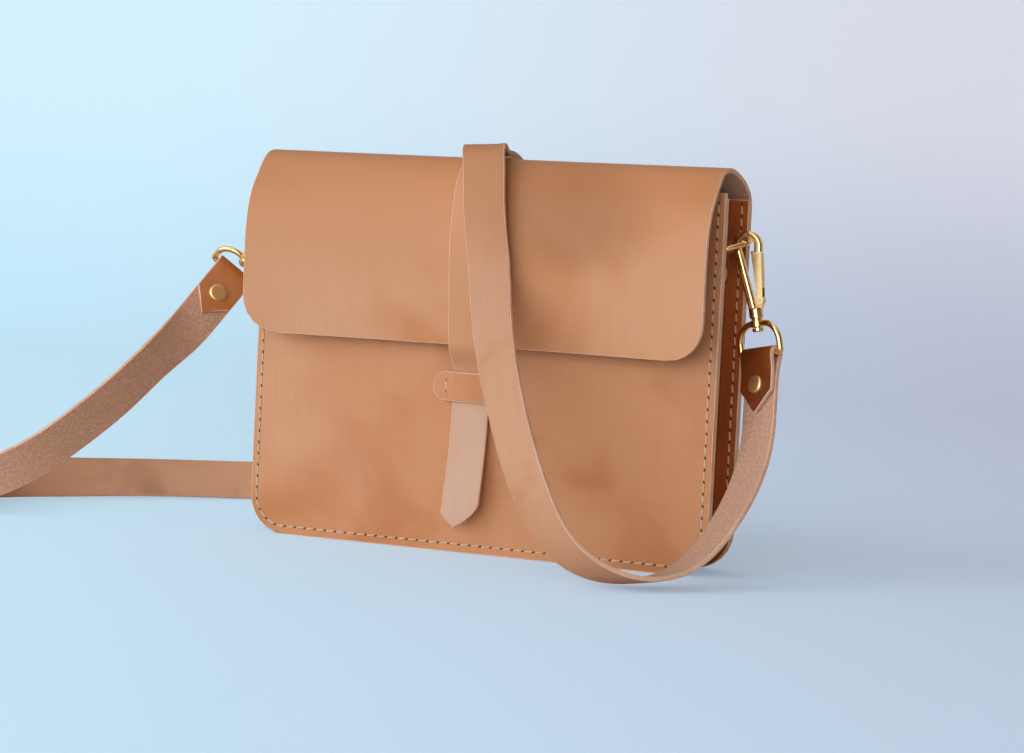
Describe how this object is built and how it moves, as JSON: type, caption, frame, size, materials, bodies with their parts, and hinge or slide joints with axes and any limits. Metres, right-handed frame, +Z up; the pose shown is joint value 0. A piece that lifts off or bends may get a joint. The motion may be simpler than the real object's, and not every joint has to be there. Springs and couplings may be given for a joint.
{
  "type": "sling bag",
  "caption": "Slim leather shoulder bag with a fold-over flap, closure strap through a keeper, saddle stitching, and a flat strap on swivel snap hooks and D rings",
  "frame": {"origin": "middle of the front panel's bottom edge, on the ground the bag stands on", "axes": "+X to the bag's left-hand side as worn facing out, which is the right in a front view; +Y from front to back; +Z up"},
  "size_m": [0.3907, 0.2183, 0.1747],
  "materials": {
    "body_leather": "natural vegetable-tanned, satin",
    "flap_leather": "natural vegetable-tanned, satin",
    "trim_leather": "natural vegetable-tanned, satin",
    "strap_leather": "natural vegetable-tanned, flesh side raw",
    "thread": "waxed thread",
    "brass": "polished",
    "steel": "plain"
  },
  "bodies": {
    "bag": {"front_panel": "body_leather", "back_panel": "body_leather", "gusset": "body_leather", "flap_margin": "flap_leather", "keeper": "trim_leather", "keeper_thread": "thread", "front_seam_thread": "thread", "back_seam_thread": "thread", "flap_seam_thread": "thread", "d_ring_tab_left": "body_leather", "d_ring_tab_right": "body_leather", "d_ring_rivets_left": "brass", "d_ring_rivets_right": "brass", "shoulder_strap": "strap_leather"},
    "flap": {"flap": "flap_leather", "closure_strap": "trim_leather", "closure_strap_end": "trim_leather"},
    "ring_left": {"d_ring_left": "brass"},
    "hook_left": {"snap_hook_left": "brass", "gate_pin_left": "steel", "gate_spring_left": "steel", "swivel_stud_left": "brass"},
    "gate_left": {"snap_gate_left": "brass"},
    "loop_left": {"swivel_loop_left": "brass"},
    "clasp_end_left": {"strap_end_left": "strap_leather", "strap_rivet_left": "brass"},
    "ring_right": {"d_ring_right": "brass"},
    "hook_right": {"snap_hook_right": "brass", "gate_pin_right": "steel", "gate_spring_right": "steel", "swivel_stud_right": "brass"},
    "gate_right": {"snap_gate_right": "brass"},
    "loop_right": {"swivel_loop_right": "brass"},
    "clasp_end_right": {"strap_end_right": "strap_leather", "strap_rivet_right": "brass"}
  },
  "joints": [
    {"name": "flap_fold", "type": "hinge", "parent": "bag", "child": "flap", "pos_m": [0, 0.0334, 0.1546], "axis": [-1, 0, 0], "range_deg": [0, 120], "deforming": ["shoulder_strap", "closure_strap_end"]},
    {"name": "ring_swing_left", "type": "hinge", "parent": "bag", "child": "ring_left", "pos_m": [-0.1026, 0.0154, 0.1365], "axis": [0, 1, 0], "range_deg": [-12, 36]},
    {"name": "hook_swing_left", "type": "hinge", "parent": "ring_left", "child": "hook_left", "pos_m": [-0.11138, 0.02093, 0.13711], "axis": [0.5181, 0.8546, -0.0364], "range_deg": [-16, 30]},
    {"name": "gate_press_left", "type": "hinge", "parent": "hook_left", "child": "gate_left", "pos_m": [-0.1304, 0.032, 0.12628], "axis": [0.5181, 0.8546, -0.0364], "range_deg": [0, 11], "stiffness_Nm_per_rad": 0.15, "springref_deg": -17.19, "deforming": ["gate_spring_left"]},
    {"name": "loop_swivel_left", "type": "hinge", "parent": "hook_left", "child": "loop_left", "pos_m": [-0.13621, 0.03522, 0.11918], "axis": [0.7346, -0.4228, 0.5307], "range_deg": [-90, 90]},
    {"name": "end_swing_left", "type": "hinge", "parent": "loop_left", "child": "clasp_end_left", "pos_m": [-0.1459, 0.0408, 0.11217], "axis": [0.6775, 0.4148, -0.6073], "range_deg": [-40, 60]},
    {"name": "ring_swing_right", "type": "hinge", "parent": "bag", "child": "ring_right", "pos_m": [0.1026, 0.0154, 0.1365], "axis": [0, -0.9903, -0.1392], "range_deg": [-4, 28]},
    {"name": "hook_swing_right", "type": "hinge", "parent": "ring_right", "child": "hook_right", "pos_m": [0.1126, 0.01503, 0.13915], "axis": [0, 0.9903, 0.1392], "range_deg": [-50, 8]},
    {"name": "gate_press_right", "type": "hinge", "parent": "hook_right", "child": "gate_right", "pos_m": [0.11959, 0.01503, 0.11564], "axis": [0, -1, 0], "range_deg": [0, 11], "stiffness_Nm_per_rad": 0.15, "springref_deg": -17.19, "deforming": ["gate_spring_right"]},
    {"name": "loop_swivel_right", "type": "hinge", "parent": "hook_right", "child": "loop_right", "pos_m": [0.11888, 0.01503, 0.10594], "axis": [-0.1859, 0, 0.9826], "range_deg": [-90, 90]},
    {"name": "end_swing_right", "type": "hinge", "parent": "loop_right", "child": "clasp_end_right", "pos_m": [0.12133, 0.01503, 0.09297], "axis": [0.8666, -0.4713, 0.164], "range_deg": [-15, 50]}
  ]
}
